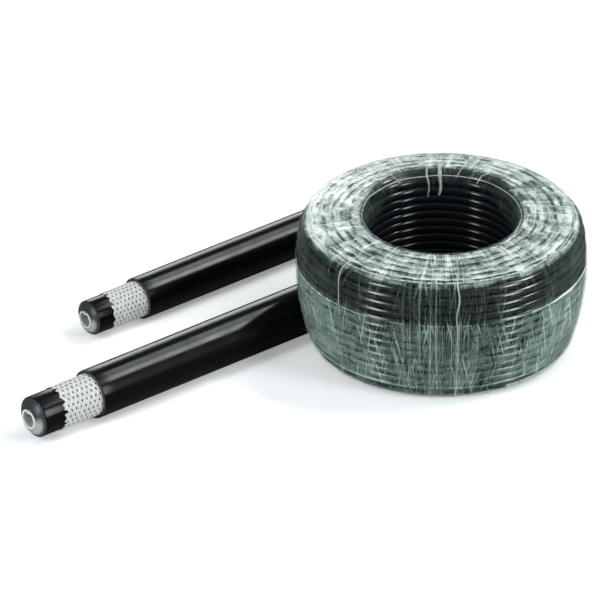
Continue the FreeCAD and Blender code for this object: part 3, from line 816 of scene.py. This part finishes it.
# The covers: smooth black rubber with a high gloss, cut square round the braid. The cut's
# outer edge is broken, and shows a thin line of light.
CUT_EDGE = 0.0014
cover_finish = rubber_finish("gloss_cover", (0.002, 0.002, 0.002), 0.19, 0.17)
cut_finish, tree, shader = finish_named("cut_rubber", (0.035, 0.033, 0.035), 0.45)
grit = grain(tree, step_node(tree, "TexCoord").outputs["Object"], 700)
bumps(tree, shader, grit, 0.3, 0.0003)
for side, length in LENGTHS.items():
    first, outer, inner = length["cover"]
    far = length["far"]
    places = run((first, inner), (far, inner), 0.05) + [(far, inner)]
    places += run((far, outer), (first + CUT_EDGE, outer), 0.02)
    rounding = (first + CUT_EDGE, outer - CUT_EDGE)
    places += bend(rounding, CUT_EDGE, math.pi / 2, math.pi, 0.0003)
    places += [(first, outer - CUT_EDGE)]
    cover = turned_tube(side, places, 128)
    name, node = side + "_gloss_cover", side + "_cover"
    piece = piece_from(name, cover, cover_finish, side + "_length", node)
    second_finish(piece, side, cut_finish, 0, first + CUT_EDGE * 0.4)


# The studio: a plain white floor, which looks dark in the gloss as if flagged, soft lamps,
# and a long lens. The two long lamps each draw one even highlight along the lengths.
floor = bmesh.new()
bmesh.ops.create_grid(floor, x_segments=1, y_segments=1, size=12)
floor_mesh = bpy.data.meshes.new("floor")
floor.to_mesh(floor_mesh)
floor.free()
floor_piece = bpy.data.objects.new("floor", floor_mesh)
bpy.context.collection.objects.link(floor_piece)
floor_finish, tree, shader = finish_named("white_floor", (0.9, 0.9, 0.9), 0.9)
shader.inputs["Specular IOR Level"].default_value = 0
rays = step_node(tree, "LightPath").outputs
seen = maths(tree, "MAXIMUM", rays["Is Camera Ray"], rays["Is Transmission Ray"])
shade = ramp(tree, rays["Is Glossy Ray"], [(0, 0.9), (1, 0.22)])
tree.links.new(shade, shader.inputs["Base Color"])
shader.inputs["Emission Color"].default_value = (1, 1, 1, 1)
tree.links.new(maths(tree, "MULTIPLY", seen, 0.3), shader.inputs["Emission Strength"])
floor_mesh.materials.append(floor_finish)

world = bpy.data.worlds.new("studio")
bpy.context.scene.world = world
world.use_nodes = True
world.node_tree.nodes["Background"].inputs["Color"].default_value = (0.92, 0.97, 1.0, 1)
world.node_tree.nodes["Background"].inputs["Strength"].default_value = 0.22


def soft_lamp(name, aim, toward, distance, size, brightness, colour):
    """A soft box at a distance from its aim, its first side along the two lengths."""
    lamp = bpy.data.lights.new(name, "AREA")
    lamp.shape = "RECTANGLE"
    lamp.size, lamp.size_y = size
    lamp.energy = brightness * math.pi * lamp.size * lamp.size_y
    lamp.color = colour
    stand = bpy.data.objects.new(name, lamp)
    back = Vector(toward).normalized()
    wide = (LENGTHS_WAY - back * LENGTHS_WAY.dot(back)).normalized()
    turn = Matrix((wide, back.cross(wide), back)).transposed()
    stand.matrix_world = Matrix.Translation(Vector(aim) + back * distance) @ turn.to_4x4()
    bpy.context.collection.objects.link(stand)


CAMERA_TILT = math.radians(30)
CAMERA_AIM, CAMERA_DISTANCE = Vector((-0.2082, -0.0156, 0.0667)), 14.746
to_camera = Vector((0, -math.cos(CAMERA_TILT), math.sin(CAMERA_TILT)))


def mirrored(degrees):
    """The way from which light glances off a length to the camera, so far up its side."""
    slid = to_camera.dot(LENGTHS_WAY)
    turned = math.radians(degrees)
    aside = Vector((LENGTHS_WAY.y, -LENGTHS_WAY.x, 0)) * math.cos(turned)
    aside.z = math.sin(turned)
    return aside * math.sqrt(1 - slid**2) - LENGTHS_WAY * slid


lengths_middle, coil_middle = (-0.36, 0, 0.06), (0, 0, 0.15)
soft_lamp("strip_lamp", lengths_middle, mirrored(68), 8, (0.74, 2.3), 33, (1, 1, 0.99))
soft_lamp("top_lamp", lengths_middle, mirrored(93), 8, (0.74, 3.5), 13, (0.88, 1.0, 0.98))
soft_lamp("back_lamp", lengths_middle, mirrored(160), 4, (0.9, 1.75), 5, (1, 1, 1))
soft_lamp("left_lamp", coil_middle, (-0.5, -0.05, 0.865), 3, (0.6, 1.0), 2, (0.92, 0.97, 1))
soft_lamp("right_lamp", coil_middle, (0.45, -0.15, 0.88), 3, (0.6, 1.0), 2, (0.92, 0.97, 1))
soft_lamp("front_left_lamp", coil_middle, (-0.72, -0.55, 0.42), 3, (1.8, 0.55), 14, (0.9, 0.97, 1))
soft_lamp("front_right_lamp", coil_middle, (0.74, -0.5, 0.45), 3, (0.55, 1.8), 14, (0.9, 0.97, 1))

lens = bpy.data.cameras.new("camera")
lens.lens = 600
lens.sensor_width = 36
lens.clip_end = 60
camera = bpy.data.objects.new("camera", lens)
camera.location = CAMERA_AIM + CAMERA_DISTANCE * to_camera
camera.rotation_euler = (math.pi / 2 - CAMERA_TILT, 0, 0)
bpy.context.collection.objects.link(camera)
bpy.context.scene.camera = camera
bpy.context.scene.view_settings.view_transform = "Standard"
